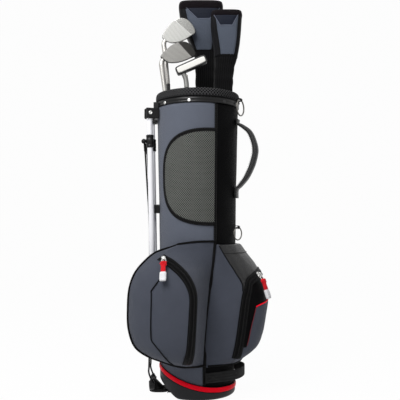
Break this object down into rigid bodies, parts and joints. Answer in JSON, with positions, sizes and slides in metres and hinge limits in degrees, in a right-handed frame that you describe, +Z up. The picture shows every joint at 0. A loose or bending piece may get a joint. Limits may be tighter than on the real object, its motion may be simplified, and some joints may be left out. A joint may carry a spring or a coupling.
{
  "type": "golf club set",
  "caption": "Junior golf stand bag with folding legs, pockets, mesh panel and carrying handles, holding irons, a putter and covered woods.",
  "frame": {"origin": "centre of the flat sole that the bag stands on", "axes": "+Z up along the bag, -X towards the stand legs, +X towards the carrying spine, -Y towards the side pocket"},
  "size_m": [0.3371, 0.3085, 0.9918],
  "materials": {
    "grey_cloth": "woven polyester",
    "black_cloth": "woven polyester and webbing",
    "grey_mesh": "open spacer mesh",
    "black_plastic": "moulded, fine grain",
    "red_trim": "soft moulded welt",
    "white_tube": "white coated tube",
    "black_rubber": "moulded rubber",
    "steel": "satin",
    "dark_steel": "dark satin",
    "dark_alloy": "dark gloss"
  },
  "bodies": {
    "bag": {"ball_pocket": "grey_cloth", "ball_zip_slider": "steel", "ball_zip_tape": "black_cloth", "base_boot": "black_plastic", "base_strap": "black_cloth", "base_trim": "red_trim", "club_divider": "black_cloth", "cuff_band": "black_plastic", "cuff_pad": "black_cloth", "cuff_rivet_1": "steel", "cuff_rivet_2": "steel", "cuff_rivet_3": "steel", "cuff_rivet_4": "steel", "cuff_rivet_5": "steel", "cuff_rivet_6": "steel", "grab_handle": "black_cloth", "leg_keeper": "black_plastic", "leg_pin_far": "steel", "leg_pin_near": "steel", "leg_yoke": "black_plastic", "lower_ring_tab": "black_cloth", "mesh_binding": "black_cloth", "mesh_panel": "grey_mesh", "pedal_pin": "steel", "side_panel": "grey_cloth", "side_pocket": "grey_cloth", "side_zip_slider": "steel", "side_zip_tape": "black_cloth", "spine_panel": "black_cloth", "upper_ring_tab": "black_cloth"},
    "leg_near": {"leg_tube_near": "white_tube", "leg_foot_near": "black_rubber", "leg_collar_near": "black_plastic"},
    "leg_far": {"leg_tube_far": "white_tube", "leg_foot_far": "black_rubber", "leg_collar_far": "black_plastic"},
    "pedal": {"foot_pedal": "black_rubber"},
    "rod_near": {"kick_rod_near": "black_plastic"},
    "rod_far": {"kick_rod_far": "black_plastic"},
    "ring_upper": {"upper_ring": "steel"},
    "ring_lower": {"lower_ring": "steel"},
    "pull_side": {"side_zip_pull": "red_trim"},
    "pull_ball": {"ball_zip_pull": "red_trim"},
    "club_iron_1": {"iron_1_head": "steel", "iron_1_shaft": "steel", "iron_1_grip": "black_rubber"},
    "club_iron_2": {"iron_2_head": "steel", "iron_2_shaft": "steel", "iron_2_grip": "black_rubber"},
    "club_putter": {"putter_head": "dark_steel", "putter_shaft": "steel", "putter_grip": "black_rubber"},
    "club_driver": {"driver_head": "dark_alloy", "driver_shaft": "steel", "driver_grip": "black_rubber", "driver_cover": "grey_cloth"},
    "club_hybrid": {"hybrid_head": "dark_alloy", "hybrid_shaft": "steel", "hybrid_grip": "black_rubber", "hybrid_cover": "grey_cloth"}
  },
  "joints": [
    {"name": "leg_near_swing", "type": "hinge", "parent": "bag", "child": "leg_near", "pos_m": [-0.118, -0.04, 0.684], "axis": [-0.309, 0.9511, 0], "range_deg": [0, 28]},
    {"name": "leg_far_swing", "type": "hinge", "parent": "bag", "child": "leg_far", "pos_m": [-0.118, 0.04, 0.684], "axis": [0.309, 0.9511, 0], "range_deg": [0, 28]},
    {"name": "pedal_tilt", "type": "hinge", "parent": "bag", "child": "pedal", "pos_m": [-0.0665, 0, 0.0085], "axis": [0, 1, 0], "range_deg": [0, 17]},
    {"name": "rod_near_rock", "type": "hinge", "parent": "pedal", "child": "rod_near", "pos_m": [-0.112, -0.029, 0.0335], "axis": [-0.0459, 0.9989, 0], "range_deg": [-20.9, 0]},
    {"name": "rod_far_rock", "type": "hinge", "parent": "pedal", "child": "rod_far", "pos_m": [-0.112, 0.029, 0.0335], "axis": [0.0459, 0.9989, 0], "range_deg": [-20.9, 0]},
    {"name": "ring_upper_swing", "type": "hinge", "parent": "bag", "child": "ring_upper", "pos_m": [0.10552, -0.03246, 0.7185], "axis": [-0.5, -0.866, 0], "range_deg": [0, 85]},
    {"name": "ring_lower_swing", "type": "hinge", "parent": "bag", "child": "ring_lower", "pos_m": [0.09851, -0.03296, 0.4045], "axis": [-0.6428, -0.766, 0], "range_deg": [0, 85]},
    {"name": "pull_side_swing", "type": "hinge", "parent": "bag", "child": "pull_side", "pos_m": [-0.07455, -0.16488, 0.33467], "axis": [-0.993, 0.0954, -0.0699], "range_deg": [0, 100]},
    {"name": "pull_ball_swing", "type": "hinge", "parent": "bag", "child": "pull_ball", "pos_m": [0.15039, -0.0664, 0.2896], "axis": [-0.5917, -0.8061, -0.0102], "range_deg": [0, 100]},
    {"name": "club_iron_1_draw", "type": "slide", "parent": "bag", "child": "club_iron_1", "axis": [-0.0706, -0.0129, 0.9974], "range_m": [0, 0.75]},
    {"name": "club_iron_2_draw", "type": "slide", "parent": "bag", "child": "club_iron_2", "axis": [-0.0787, 0.0068, 0.9969], "range_m": [0, 0.75]},
    {"name": "club_putter_draw", "type": "slide", "parent": "bag", "child": "club_putter", "axis": [-0.0598, 0.0068, 0.9982], "range_m": [0, 0.75]},
    {"name": "club_driver_draw", "type": "slide", "parent": "bag", "child": "club_driver", "axis": [-0.0068, 0.0082, 0.9999], "range_m": [0, 0.75]},
    {"name": "club_hybrid_draw", "type": "slide", "parent": "bag", "child": "club_hybrid", "axis": [0.0326, -0.0095, 0.9994], "range_m": [0, 0.75]}
  ],
  "couplings": [
    {"joint": "leg_far_swing", "follows": "leg_near_swing", "ratio": 1},
    {"joint": "pedal_tilt", "follows": "leg_near_swing", "ratio": 0.60714},
    {"joint": "rod_near_rock", "follows": "leg_near_swing", "ratio": -0.74643},
    {"joint": "rod_far_rock", "follows": "leg_near_swing", "ratio": -0.74643}
  ]
}
